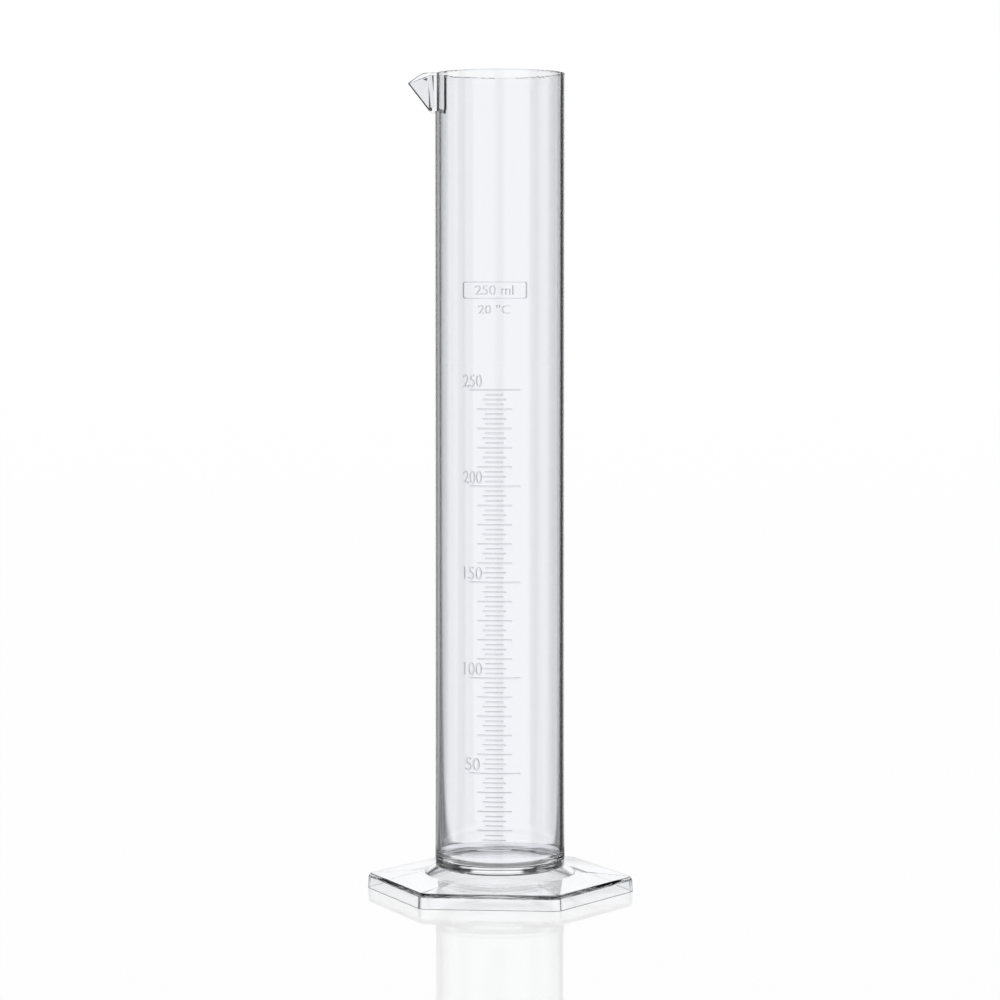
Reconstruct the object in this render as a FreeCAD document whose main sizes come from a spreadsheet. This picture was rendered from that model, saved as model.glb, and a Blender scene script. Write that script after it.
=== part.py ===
import FreeCAD, Part
import math
import os

import Sketcher

# A clear moulded measuring cylinder of 250 ml with a pouring spout, a hexagonal foot and a raised scale.
# Millimetres and degrees. The origin is the centre of the foot's resting plane, +Z points up,
# the scale faces -Y and the spout points to -X.

SIZES = [
    # tube
    ("total_height", 292.0, "table to rim"),
    ("bore_radius", 21.7, "inside radius of the tube"),
    ("wall", 1.5, "wall of the tube"),
    ("floor_level", 11.0, "height of the inside floor above the table"),
    ("floor_thickness", 1.7, "thickness of the floor"),
    ("floor_corner", 4.0, "inside radius between floor and wall"),
    ("gate_radius", 1.5, "radius of the gate stub under the floor"),
    ("gate_height", 0.5, "height of the gate stub"),
    # pouring spout
    ("tip_reach", 9.8, "spout tip beyond the tube's outer surface"),
    ("tip_drop", 3.2, "spout tip below the rim"),
    ("ridge_foot_reach", 1.7, "lower end of the ridge beyond the tube's outer surface"),
    ("ridge_foot_drop", 13.6, "lower end of the ridge below the rim"),
    ("neck_reach", 1.3, "where the spout's neck turns into the V, beyond the tube's outer surface"),
    ("neck_half_width", 8.2, "half the neck's width"),
    ("neck_wall", 1.0, "wall of the neck"),
    ("ridge_wall", 0.8, "wall of the V along its ridge, measured level"),
    ("spout_floor", 1.2, "wall of the spout's underside"),
    ("lip_slope", 28.0, "fall of the lip towards the tip"),
    ("lip_radius", 5.0, "radius between the level lip and the falling lip"),
    # foot
    ("foot_flats", 84.0, "hexagon across flats at the table"),
    ("foot_corner", 4.0, "radius of the hexagon's corners"),
    ("foot_edge_height", 5.3, "height of the foot's outer edge"),
    ("foot_edge_radius", 1.2, "rounding of the foot's outer edge"),
    ("foot_draft", 3.0, "draft of the skirt"),
    ("foot_shell", 1.5, "wall of the foot"),
    ("collar_radius", 27.1, "radius of the collar where it meets the foot's top"),
    ("collar_level", 6.6, "height of the foot's top at the collar"),
    ("shoulder_width", 0.75, "level ring between the collar and the sloping top"),
    ("seat_width", 3.5, "width of the ring that the tube stands on"),
    # scale
    ("mark_proud", 0.3, "height of the raised marks over the tube"),
    ("line_stroke", 0.5, "thickness of a scale line"),
    ("line_angle_50", 22.2, "half length of a 50 ml line, as an angle"),
    ("line_angle_10", 14.6, "half length of a 10 ml line"),
    ("line_angle_5", 9.6, "half length of a 5 ml line"),
    ("line_angle_2", 7.2, "half length of a 2.5 ml line"),
    ("numeral_height", 4.5, "height of the numerals"),
    ("numeral_stroke", 0.5, "stroke of the numerals"),
    ("numeral_width", 2.1, "width of a digit in a three-digit numeral"),
    ("numeral_width_wide", 2.5, "width of a digit in the two-digit numeral"),
    ("numeral_gap", 0.4, "gap between digits"),
    ("numeral_centre", -8.0, "middle of the numerals, across the scale"),
    ("numeral_rise", 0.9, "numeral's foot above its line"),
    # label
    ("label_width", 23.6, "label frame, across"),
    ("label_height", 6.2, "label frame, up and down"),
    ("label_corner", 0.9, "corner radius of the label frame"),
    ("label_stroke", 0.5, "stroke of the label frame"),
    ("label_level", 215.2, "height of the label's middle"),
    ("label_text", 3.4, "height of the text in the label"),
    ("label_text_width", 2.3, "width of a digit in the label's text"),
    ("note_drop", 6.7, "middle of the temperature note below the label's middle"),
    ("note_text", 3.2, "height of the temperature note"),
]

# Shorthands for lengths that follow from the sheet.
OUTER_RADIUS = "(Size.bore_radius + Size.wall)"
UNDERSIDE = "(Size.floor_level - Size.floor_thickness)"
RIDGE_SLOPE = "((Size.tip_reach - Size.ridge_foot_reach) / (Size.ridge_foot_drop - Size.tip_drop))"
RIDGE_AT_RIM = f"({OUTER_RADIUS} + Size.tip_reach + Size.tip_drop * {RIDGE_SLOPE})"
RIDGE_AT_FOOT = f"({OUTER_RADIUS} + Size.ridge_foot_reach)"
NECK_END = f"({OUTER_RADIUS} + Size.neck_reach)"
SPOUT_UNDERSIDE = "(Size.total_height - Size.ridge_foot_drop)"
CHANNEL_FLOOR_SHARE = "(Size.spout_floor / Size.ridge_foot_drop)"

# A level safely inside the foot's block, from which the collar and its hollow are turned.
INSIDE_BLOCK = "Size.foot_edge_height / 2"

# Material in the rounded floor corner, which lifts every level a little.
CORNER_INSIDE = "(Size.bore_radius - Size.floor_corner)"
CORNER_SQUARE = f"Size.floor_corner ^ 2 * ({CORNER_INSIDE} + Size.floor_corner / 2)"
CORNER_ROUND = f"pi / 4 * Size.floor_corner ^ 2 * ({CORNER_INSIDE} + 4 * Size.floor_corner / (3 * pi))"
CORNER_VOLUME = f"(2 * pi * ({CORNER_SQUARE} - {CORNER_ROUND}))"
BORE_AREA = "(pi * Size.bore_radius ^ 2)"

CAPACITY = 250
LOWEST_MARK = 10
ML = 1000
OVERLAP = 3.0
HEXAGON = 6

doc = FreeCAD.newDocument("measuring_cylinder")
sheet = doc.addObject("Spreadsheet::Sheet", "Size")


def fill_sheet():
    """Writes the driving sizes and their aliases."""
    for row, (alias, number, note) in enumerate(SIZES, start=1):
        sheet.set(f"A{row}", alias)
        sheet.set(f"B{row}", str(number))
        sheet.set(f"C{row}", note)
        sheet.setAlias(f"B{row}", alias)
    doc.recompute()


def number(expression):
    """The value of an expression on the sheet."""
    return float(sheet.evalExpression(expression))


def size(alias):
    """The value of one cell."""
    return float(sheet.get(alias))


# ---------------------------------------------------------------- sketches and features


def origin_part(body, role):
    """An origin plane or axis of a body, by its role."""
    return next(part for part in body.Origin.OriginFeatures if part.Role == role)


def new_body(label):
    """An empty body with its own label. Groups of separate marks may stay in one body."""
    body = doc.addObject("PartDesign::Body", label)
    body.Label = label
    body.AllowCompound = True
    return body


def new_sketch(body, name, role, lift=None):
    """A sketch on an origin plane, raised along the plane's normal by an expression."""
    sketch = body.newObject("Sketcher::SketchObject", f"{body.Label}_{name}")
    sketch.AttachmentSupport = [(origin_part(body, role), "")]
    sketch.MapMode = "FlatFace"
    if lift is not None:
        sketch.setExpression("AttachmentOffset.Base.z", lift)
    return sketch


def drive(sketch, kind, *places, expression):
    """Adds a constraint whose value follows an expression."""
    index = sketch.addConstraint(Sketcher.Constraint(kind, *places, number(expression)))
    sketch.setExpression(f"Constraints[{index}]", expression)


def hold_vertex(sketch, edge, x, y):
    """Ties an edge's start to the sketch's axes by two expressions."""
    for kind, axis, expression in (("DistanceX", -2, x), ("DistanceY", -1, y)):
        place = number(expression)
        if place == 0.0:
            sketch.addConstraint(Sketcher.Constraint("PointOnObject", edge, 1, axis))
        elif place > 0.0:
            drive(sketch, kind, -1, 1, edge, 1, expression=expression)
        else:
            drive(sketch, kind, edge, 1, -1, 1, expression=f"-({expression})")


def outline(sketch, points, arcs=None):
    """Closed outline through points given as expressions. arcs maps an edge to its (centre, radius)."""
    arcs = arcs or {}
    spots = [FreeCAD.Vector(number(x), number(y), 0) for x, y in points]
    count = len(spots)
    for edge, start in enumerate(spots):
        end = spots[(edge + 1) % count]
        if edge in arcs:
            centre = FreeCAD.Vector(*(number(part) for part in arcs[edge][0]), 0)
            sketch.addGeometry(arc_between(centre, start, end))
        else:
            sketch.addGeometry(Part.LineSegment(start, end))
    for edge in range(count):
        following = (edge + 1) % count
        end = arc_side(sketch, edge, spots[following])
        start = arc_side(sketch, following, spots[following])
        sketch.addConstraint(Sketcher.Constraint("Coincident", edge, end, following, start))
    for edge, (x, y) in enumerate(points):
        if edge not in arcs:
            hold_vertex(sketch, edge, x, y)
    for edge, (_, radius) in arcs.items():
        drive(sketch, "Radius", edge, expression=radius)


def arc_between(centre, start, end):
    """The shorter arc of a circle from start to end."""
    turn = [math.atan2(spot.y - centre.y, spot.x - centre.x) for spot in (start, end)]
    if (turn[1] - turn[0]) % (2 * math.pi) > math.pi:
        turn.reverse()
    circle = Part.Circle(centre, FreeCAD.Vector(0, 0, 1), (start - centre).Length)
    return Part.ArcOfCircle(circle, turn[0], turn[1])


def arc_side(sketch, edge, spot):
    """1 if an edge's start lies at spot, 2 if its end does."""
    return 1 if (sketch.getPoint(edge, 1) - spot).Length < (sketch.getPoint(edge, 2) - spot).Length else 2


def rounded_hexagon(sketch, inradius, corner):
    """Hexagon with two corners on the X axis. Its flats and corner radii follow expressions."""
    flat = number(inradius)
    bend = number(corner)
    half_side = (flat - bend) * math.tan(math.pi / HEXAGON)
    turns = [math.radians(90 + 60 * side) for side in range(HEXAGON)]
    for turn in turns:
        out = FreeCAD.Vector(math.cos(turn), math.sin(turn), 0)
        along = FreeCAD.Vector(-math.sin(turn), math.cos(turn), 0)
        sketch.addGeometry(Part.LineSegment(out * flat - along * half_side, out * flat + along * half_side))
        centre = out * (flat - bend) + along * half_side
        circle = Part.Circle(centre, FreeCAD.Vector(0, 0, 1), bend)
        sketch.addGeometry(Part.ArcOfCircle(circle, turn, turn + math.pi / 3))
    for side in range(HEXAGON):
        line, arc, following = 2 * side, 2 * side + 1, 2 * ((side + 1) % HEXAGON)
        sketch.addConstraint(Sketcher.Constraint("Tangent", line, 2, arc, 1))
        sketch.addConstraint(Sketcher.Constraint("Tangent", arc, 2, following, 1))
        drive(sketch, "Distance", -1, 1, line, expression=inradius)
        drive(sketch, "Radius", arc, expression=corner)
    sketch.addConstraint(Sketcher.Constraint("Horizontal", 0))
    sketch.addConstraint(Sketcher.Constraint("Parallel", 0, 6))
    sketch.addConstraint(Sketcher.Constraint("Parallel", 2, 8))
    sketch.addConstraint(Sketcher.Constraint("Parallel", 4, 10))


def feature(body, kind, name, profile=None, **settings):
    """A PartDesign feature of a body. Settings written as text are bound as expressions."""
    made = body.newObject(f"PartDesign::{kind}", f"{body.Label}_{name}")
    if profile is not None:
        made.Profile = (profile, [""])
    for key, setting in settings.items():
        if isinstance(setting, str):
            made.setExpression(key, setting)
        else:
            setattr(made, key, setting)
    doc.recompute()
    return made


def turn_about_z(body, kind, name, profile):
    """A full revolution or groove about the Z axis."""
    made = body.newObject(f"PartDesign::{kind}", f"{body.Label}_{name}")
    made.Profile = (profile, [""])
    made.ReferenceAxis = (origin_part(body, "Z_Axis"), [""])
    made.Angle = 360.0
    doc.recompute()
    return made


def must_cut(body, before):
    """Stops when the last cut took nothing away."""
    if not body.Shape.Volume < before - 1e-3:
        raise ValueError(f"{body.Label}: {body.Tip.Name} cut nothing")


def round_edges(body, name, radius, wanted):
    """Fillets the edges of the body's last shape that pass the test."""
    base = body.Tip
    picked = [f"Edge{i}" for i, edge in enumerate(base.Shape.Edges, start=1) if wanted(edge)]
    if not picked:
        raise ValueError(f"{body.Label}: no edge to round for {name}")
    made = body.newObject("PartDesign::Fillet", f"{body.Label}_{name}")
    made.Base = (base, picked)
    made.setExpression("Radius", radius)
    doc.recompute()
    return made


def ring_edge(level, radius):
    """Test for a full circle about the Z axis at a height and radius."""

    def wanted(edge):
        at_level = all(abs(vertex.Z - level) < 1e-4 for vertex in edge.Vertexes)
        circle = isinstance(edge.Curve, Part.Circle)
        return at_level and circle and abs(edge.Curve.Radius - radius) < 1e-4

    return wanted


# ---------------------------------------------------------------- tube


def make_tube():
    """Round tube with a closed floor, and an opening in its wall where the spout stands."""
    body = new_body("tube")
    section = new_sketch(body, "section", "XZ_Plane")
    outline(
        section,
        [
            ("0", f"{UNDERSIDE} - Size.gate_height"),
            ("Size.gate_radius", f"{UNDERSIDE} - Size.gate_height"),
            ("Size.gate_radius", UNDERSIDE),
            (OUTER_RADIUS, UNDERSIDE),
            (OUTER_RADIUS, "Size.total_height"),
            ("Size.bore_radius", "Size.total_height"),
            ("Size.bore_radius", "Size.floor_level"),
            ("0", "Size.floor_level"),
        ],
    )
    turn_about_z(body, "Revolution", "wall", section)
    inside_corner = ring_edge(size("floor_level"), size("bore_radius"))
    round_edges(body, "floor_corner", "Size.floor_corner", inside_corner)
    before = body.Shape.Volume
    cut_channel(body)
    must_cut(body, before)


# ---------------------------------------------------------------- pouring spout


def spout_sketch(body, name, share, inside=False):
    """Level outline of the spout: the V's tip on -X, and a straight neck that ends inside the bore.

    share tells how far up the spout it lies, from 0 at the underside to 1 at the rim.
    inside asks for the outline of the pouring channel.
    """
    tip = f"({RIDGE_AT_FOOT} + {share} * ({RIDGE_AT_RIM} - {RIDGE_AT_FOOT}))"
    front = f"({tip} - Size.ridge_wall)" if inside else tip
    half = "(Size.neck_half_width - Size.neck_wall)" if inside else "Size.neck_half_width"
    turn = f"({front} - ({tip} - {NECK_END}) * {half} / Size.neck_half_width)"
    back = f"(Size.bore_radius - {OVERLAP})"
    sketch = new_sketch(body, name, "XY_Plane", f"{SPOUT_UNDERSIDE} + {share} * Size.ridge_foot_drop")
    outline(
        sketch,
        [
            (f"-{front}", "0"),
            (f"-{turn}", f"-{half}"),
            (f"-{back}", f"-{half}"),
            (f"-{back}", half),
            (f"-{turn}", half),
        ],
    )
    return sketch


def loft_between(body, kind, name, lower, upper):
    """A straight-sided loft from one sketch to another."""
    return feature(body, kind, name, lower, Sections=[upper], Ruled=True)


def cut_channel(body):
    """Cuts the spout's pouring channel, from its floor up to the rim."""
    lower = spout_sketch(body, "channel_low", CHANNEL_FLOOR_SHARE, inside=True)
    upper = spout_sketch(body, "channel_top", "1", inside=True)
    loft_between(body, "SubtractiveLoft", "channel", lower, upper)


def make_pour_spout():
    """Thin-walled V-shaped spout on the outside of the tube, with a straight neck and a falling lip."""
    body = new_body("pour_spout")
    lower = spout_sketch(body, "underside", "0")
    upper = spout_sketch(body, "rim", "1")
    loft_between(body, "AdditiveLoft", "wedge", lower, upper)
    before = body.Shape.Volume
    cut_channel(body)
    must_cut(body, before)
    before = body.Shape.Volume
    tube_face = new_sketch(body, "tube_face", "XY_Plane", "Size.total_height")
    tube_face.addGeometry(Part.Circle(FreeCAD.Vector(), FreeCAD.Vector(0, 0, 1), number(OUTER_RADIUS)))
    tube_face.addConstraint(Sketcher.Constraint("Coincident", 0, 3, -1, 1))
    drive(tube_face, "Radius", 0, expression=OUTER_RADIUS)
    feature(body, "Pocket", "tube_side", tube_face, Length="Size.ridge_foot_drop * 2")
    must_cut(body, before)
    before = body.Shape.Volume
    lip = lip_sketch(body)
    feature(body, "Pocket", "lip", lip, Length=f"4 * {OUTER_RADIUS}", Midplane=True)
    must_cut(body, before)


def lip_sketch(body):
    """Side outline of what is taken off above the lip."""
    fall = "(1 - cos(Size.lip_slope))"
    tip_x = f"({OUTER_RADIUS} + Size.tip_reach)"
    straight = f"((Size.tip_drop - Size.lip_radius * {fall}) / tan(Size.lip_slope))"
    level_end = f"({tip_x} - {straight} - Size.lip_radius * sin(Size.lip_slope))"
    arc_end = (f"-({level_end} + Size.lip_radius * sin(Size.lip_slope))",
               f"Size.total_height - Size.lip_radius * {fall}")
    beyond = f"({tip_x} + {OVERLAP})"
    below = f"Size.total_height - Size.tip_drop - {OVERLAP} * tan(Size.lip_slope)"
    sketch = new_sketch(body, "lip_side", "XZ_Plane")
    outline(
        sketch,
        [
            (f"-({level_end})", "Size.total_height"),
            arc_end,
            (f"-({beyond})", below),
            (f"-({beyond})", f"Size.total_height + {OVERLAP}"),
            (f"-({level_end})", f"Size.total_height + {OVERLAP}"),
        ],
        arcs={0: ((f"-({level_end})", "Size.total_height - Size.lip_radius"), "Size.lip_radius")},
    )
    return sketch


# ---------------------------------------------------------------- foot


def make_foot():
    """Hollow hexagonal foot: skirt, shallow six-sided top, and a conical collar with the tube's seat."""
    body = new_body("foot")
    plan = new_sketch(body, "plan", "XY_Plane")
    rounded_hexagon(plan, "Size.foot_flats / 2", "Size.foot_corner")
    feature(body, "Pad", "block", plan, Length="Size.collar_level", TaperAngle="-Size.foot_draft")
    slope_top(body)
    round_edges(body, "edge", "Size.foot_edge_radius", foot_rim_edge)
    collar = new_sketch(body, "collar_section", "XZ_Plane")
    outline(
        collar,
        [
            ("0", INSIDE_BLOCK),
            ("Size.collar_radius", INSIDE_BLOCK),
            ("Size.collar_radius", "Size.collar_level"),
            (OUTER_RADIUS, UNDERSIDE),
            ("0", UNDERSIDE),
        ],
    )
    turn_about_z(body, "Revolution", "collar", collar)
    hollow_underside(body)


def slope_top(body):
    """Slopes the top from the collar down to each of the six flats."""
    side = new_sketch(body, "top_slope", "YZ_Plane")
    shoulder = "(Size.collar_radius + Size.shoulder_width)"
    edge = "(Size.foot_flats / 2)"
    fall = f"((Size.collar_level - Size.foot_edge_height) / ({edge} - {shoulder}))"
    beyond = f"({edge} + {OVERLAP})"
    outline(
        side,
        [
            (shoulder, "Size.collar_level"),
            (beyond, f"Size.collar_level - {fall} * ({beyond} - {shoulder})"),
            (beyond, f"Size.collar_level + {OVERLAP}"),
            (shoulder, f"Size.collar_level + {OVERLAP}"),
        ],
    )
    before = body.Shape.Volume
    facet = feature(body, "Pocket", "facet", side, Length="2 * Size.foot_flats", Midplane=True)
    must_cut(body, before)
    facets = body.newObject("PartDesign::PolarPattern", "foot_facets")
    facets.Originals = [facet]
    facets.Axis = (origin_part(body, "Z_Axis"), [""])
    facets.Angle = 360.0
    facets.Occurrences = HEXAGON
    body.Tip = facets
    doc.recompute()


def foot_rim_edge(edge):
    """Test for the edges between the skirt and the sloping top."""
    middle = edge.valueAt((edge.FirstParameter + edge.LastParameter) / 2)
    turn = math.atan2(middle.y, middle.x) - math.pi / 2
    off_flat = (turn + math.pi / HEXAGON) % (2 * math.pi / HEXAGON) - math.pi / HEXAGON
    outward = math.hypot(middle.x, middle.y) * math.cos(off_flat)
    on_skirt = outward > size("foot_flats") / 2 - size("foot_shell")
    half_way = size("foot_edge_height") / 2
    rising = abs(edge.Vertexes[0].Z - edge.Vertexes[-1].Z) > size("foot_edge_radius")
    return middle.z > half_way and on_skirt and not rising


def hollow_underside(body):
    """Opens the foot from below, leaving the skirt, the top and the seat as walls."""
    before = body.Shape.Volume
    skirt_rise = "(Size.foot_edge_height - Size.foot_shell)"
    inside = new_sketch(body, "inside_plan", "XY_Plane")
    rounded_hexagon(inside, "Size.foot_flats / 2 - Size.foot_shell", "Size.foot_corner - Size.foot_shell")
    feature(body, "Pocket", "inside", inside, Length=skirt_rise, TaperAngle="-Size.foot_draft", Reversed=True)
    must_cut(body, before)
    before = body.Shape.Volume
    roof_edge = f"(Size.foot_flats / 2 - Size.foot_shell - {skirt_rise} * tan(Size.foot_draft))"
    roof_run = "(Size.foot_flats / 2 - Size.collar_radius - Size.shoulder_width)"
    roof_low = new_sketch(body, "roof_low", "XY_Plane", skirt_rise)
    rounded_hexagon(roof_low, roof_edge, "Size.foot_corner - Size.foot_shell")
    roof_top = new_sketch(body, "roof_top", "XY_Plane", "Size.collar_level - Size.foot_shell")
    rounded_hexagon(roof_top, f"{roof_edge} - {roof_run}", "(Size.foot_corner - Size.foot_shell) / 2")
    loft_between(body, "SubtractiveLoft", "roof", roof_low, roof_top)
    must_cut(body, before)
    before = body.Shape.Volume
    seat_inside = f"({OUTER_RADIUS} - Size.seat_width)"
    section = new_sketch(body, "seat_section", "XZ_Plane")
    outline(
        section,
        [
            ("0", INSIDE_BLOCK),
            ("Size.collar_radius - Size.foot_shell", INSIDE_BLOCK),
            ("Size.collar_radius - Size.foot_shell", "Size.collar_level - Size.foot_shell"),
            (f"{OUTER_RADIUS} - Size.foot_shell", f"{UNDERSIDE} - Size.foot_shell"),
            (seat_inside, f"{UNDERSIDE} - Size.foot_shell"),
            (seat_inside, f"{UNDERSIDE} + {OVERLAP}"),
            ("0", f"{UNDERSIDE} + {OVERLAP}"),
        ],
    )
    turn_about_z(body, "Groove", "under_collar", section)
    must_cut(body, before)


# ---------------------------------------------------------------- scale lines


def level_of(volume):
    """Expression for the height that a volume in millilitres reaches inside the tube."""
    return f"(Size.floor_level + ({volume * ML} + {CORNER_VOLUME}) / {BORE_AREA})"


def rise_of(volume):
    """Expression for the height that a volume in millilitres adds."""
    return f"({volume * ML} / {BORE_AREA})"


def make_lines(label, first, steps, half_angle):
    """Scale lines round the front of the tube. steps is a list of (pitch in ml, number of lines)."""
    body = new_body(label)
    section = new_sketch(body, "section", "YZ_Plane")
    middle = level_of(first)
    near = f"-{OUTER_RADIUS}"
    far = f"-({OUTER_RADIUS} + Size.mark_proud)"
    low = f"{middle} - Size.line_stroke / 2"
    high = f"{middle} + Size.line_stroke / 2"
    outline(section, [(near, low), (near, high), (far, high), (far, low)])
    line = body.newObject("PartDesign::Revolution", f"{label}_line")
    line.Profile = (section, [""])
    line.ReferenceAxis = (origin_part(body, "Z_Axis"), [""])
    line.setExpression("Angle", f"2 * {half_angle}")
    line.Midplane = True
    doc.recompute()
    for pitch, count in steps:
        repeat_up(body, pitch, count)


def repeat_up(body, pitch, count):
    """Repeats all that the body holds so far up the tube, every pitch millilitres."""
    rows = body.newObject("PartDesign::LinearPattern", f"{body.Label}_rows")
    rows.TransformMode = "Whole shape"
    rows.Direction = (origin_part(body, "Z_Axis"), [""])
    rows.setExpression("Length", rise_of(pitch * (count - 1)))
    rows.Occurrences = count
    body.Tip = rows
    doc.recompute()


def make_scale_lines():
    """The four lengths of line: each 50 ml, 10 ml, 5 ml and 2.5 ml."""
    blocks = int(CAPACITY // 50)
    make_lines("graduation_lines_50ml", 50, [(50, blocks)], "Size.line_angle_50")
    make_lines("graduation_lines_10ml", LOWEST_MARK, [(10, 4), (50, blocks)], "Size.line_angle_10")
    make_lines("graduation_lines_5ml", 15, [(10, 24)], "Size.line_angle_5")
    make_lines("graduation_lines_2_5ml", 12.5, [(5, 48)], "Size.line_angle_2")


# ---------------------------------------------------------------- raised lettering


def dot(spot, width):
    """Round end or joint of a stroke."""
    return Part.Face(Part.Wire(Part.Circle(spot, FreeCAD.Vector(0, 0, 1), width / 2).toShape()))


def straight_stroke(start, end, width):
    """Straight stroke with round ends."""
    side = (end - start).normalize().cross(FreeCAD.Vector(0, 0, 1)) * (width / 2)
    corners = [start - side, start + side, end + side, end - side]
    return [Part.Face(Part.makePolygon(corners + corners[:1])), dot(start, width), dot(end, width)]


def round_stroke(centre, radius, first, last, width):
    """Stroke along an arc from one angle to another, counter-clockwise, with round ends."""
    up = FreeCAD.Vector(0, 0, 1)
    turns = [math.radians(first), math.radians(last)]
    ways = [FreeCAD.Vector(math.cos(turn), math.sin(turn), 0) for turn in turns]
    outer, inner = radius + width / 2, radius - width / 2
    edges = [
        Part.ArcOfCircle(Part.Circle(centre, up, outer), *turns).toShape(),
        Part.LineSegment(centre + ways[1] * outer, centre + ways[1] * inner).toShape(),
        Part.ArcOfCircle(Part.Circle(centre, up, inner), *turns).toShape(),
        Part.LineSegment(centre + ways[0] * inner, centre + ways[0] * outer).toShape(),
    ]
    band = Part.Face(Part.Wire(Part.__sortEdges__(edges)))
    return [band] + [dot(centre + way * radius, width) for way in ways]


def ring(centre, radius, width):
    """Closed round stroke."""
    return [dot(centre, 2 * radius + width).cut(dot(centre, 2 * radius - width))]


def glyph_zero(wide, tall, width):
    """Upright oval."""
    bend = wide / 2
    strokes = round_stroke(FreeCAD.Vector(bend, tall - bend, 0), bend, 0, 180, width)
    strokes += round_stroke(FreeCAD.Vector(bend, bend, 0), bend, 180, 360, width)
    for x in (0, wide):
        strokes += straight_stroke(FreeCAD.Vector(x, bend, 0), FreeCAD.Vector(x, tall - bend, 0), width)
    return strokes


def glyph_one(wide, tall, width):
    """Stem with a flag."""
    top = FreeCAD.Vector(0.6 * wide, tall, 0)
    strokes = straight_stroke(top, FreeCAD.Vector(0.6 * wide, 0, 0), width)
    return strokes + straight_stroke(top, FreeCAD.Vector(0.1 * wide, 0.8 * tall, 0), width)


def glyph_two(wide, tall, width):
    """Hook, diagonal and foot."""
    bend = wide / 2
    centre = FreeCAD.Vector(bend, tall - bend, 0)
    leave = math.radians(-35)
    turn_off = centre + FreeCAD.Vector(math.cos(leave), math.sin(leave), 0) * bend
    corner = FreeCAD.Vector(0, 0, 0)
    strokes = round_stroke(centre, bend, -35, 170, width)
    strokes += straight_stroke(turn_off, corner, width)
    return strokes + straight_stroke(corner, FreeCAD.Vector(wide, 0, 0), width)


def glyph_five(wide, tall, width):
    """Bar, short stem and open bowl."""
    bend = 0.56 * wide
    centre = FreeCAD.Vector(wide - bend, bend, 0)
    shoulder = FreeCAD.Vector(0.06 * wide, 0.54 * tall, 0)
    enter = math.radians(110)
    bowl_top = centre + FreeCAD.Vector(math.cos(enter), math.sin(enter), 0) * bend
    upper = FreeCAD.Vector(0.12 * wide, tall, 0)
    strokes = straight_stroke(FreeCAD.Vector(wide, tall, 0), upper, width)
    strokes += straight_stroke(upper, shoulder, width)
    strokes += straight_stroke(shoulder, bowl_top, width)
    return strokes + round_stroke(centre, bend, -150, 110, width)


def glyph_m(wide, tall, width):
    """Small m: three stems and two arches."""
    bend = wide / 4
    top = 0.62 * tall
    strokes = straight_stroke(FreeCAD.Vector(0, 0, 0), FreeCAD.Vector(0, top, 0), width)
    for arch in (0, 1):
        right = (arch + 1) * wide / 2
        centre = FreeCAD.Vector(right - bend, top - bend, 0)
        strokes += round_stroke(centre, bend, 0, 180, width)
        strokes += straight_stroke(FreeCAD.Vector(right, top - bend, 0), FreeCAD.Vector(right, 0, 0), width)
    return strokes


def glyph_l(_wide, tall, width):
    """Small l: one stem."""
    return straight_stroke(FreeCAD.Vector(0, 0, 0), FreeCAD.Vector(0, tall, 0), width)


def glyph_degree(wide, tall, width):
    """Degree sign: a small ring at the top."""
    bend = 0.3 * wide
    return ring(FreeCAD.Vector(wide / 2, tall - bend, 0), bend, width)


def glyph_c(wide, tall, width):
    """Capital C: a half oval with short open arms."""
    bend = wide / 2
    strokes = round_stroke(FreeCAD.Vector(bend, tall - bend, 0), bend, 20, 180, width)
    strokes += round_stroke(FreeCAD.Vector(bend, bend, 0), bend, 180, 340, width)
    return strokes + straight_stroke(FreeCAD.Vector(0, bend, 0), FreeCAD.Vector(0, tall - bend, 0), width)


GLYPHS = {
    "0": (glyph_zero, 1.0),
    "1": (glyph_one, 1.0),
    "2": (glyph_two, 1.0),
    "5": (glyph_five, 1.0),
    "m": (glyph_m, 1.5),
    "l": (glyph_l, 0.0),
    "°": (glyph_degree, 0.7),
    "C": (glyph_c, 1.0),
    " ": (None, 0.35),
}


def raise_on_tube(flat_shapes):
    """Projects flat outlines, drawn in X and Z, onto the front of the tube as raised marks."""
    radius = number(OUTER_RADIUS)
    proud = size("mark_proud")
    depth = radius + 2 * proud
    upright = FreeCAD.Placement(FreeCAD.Vector(), FreeCAD.Rotation(FreeCAD.Vector(1, 0, 0), 90))
    prisms = []
    for flat in flat_shapes:
        standing = flat.copy()
        standing.Placement = upright.multiply(flat.Placement)
        prisms.append(standing.extrude(FreeCAD.Vector(0, -depth, 0)))
    block = prisms[0].multiFuse(prisms[1:]) if len(prisms) > 1 else prisms[0]
    box = block.BoundBox
    foot = FreeCAD.Vector(0, 0, box.ZMin - 1)
    height = box.ZLength + 2
    shell = Part.makeCylinder(radius + proud, height, foot).cut(Part.makeCylinder(radius, height, foot))
    return block.common(shell).removeSplitter()


def text_strokes(text, centre_x, foot_z, tall, digit_width, gap, width):
    """Stroke faces of a line of text, centred on centre_x and standing on foot_z."""
    spans = [0.0 if letter == "l" else GLYPHS[letter][1] * (digit_width - width) for letter in text]
    total = sum(spans) + len(text) * width + (len(text) - 1) * gap
    x = centre_x - total / 2 + width / 2
    faces = []
    for letter, span in zip(text, spans):
        draw = GLYPHS[letter][0]
        if draw is not None:
            for face in draw(span, tall - width, width):
                face.translate(FreeCAD.Vector(x, foot_z + width / 2, 0))
                faces.append(face)
        x += span + width + gap
    return faces


def add_mark(label, faces):
    """A raised mark as an object of its own."""
    mark = doc.addObject("Part::Feature", label)
    mark.Label = label
    mark.Shape = raise_on_tube(faces)
    mark.Placement = FreeCAD.Placement()


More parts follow.
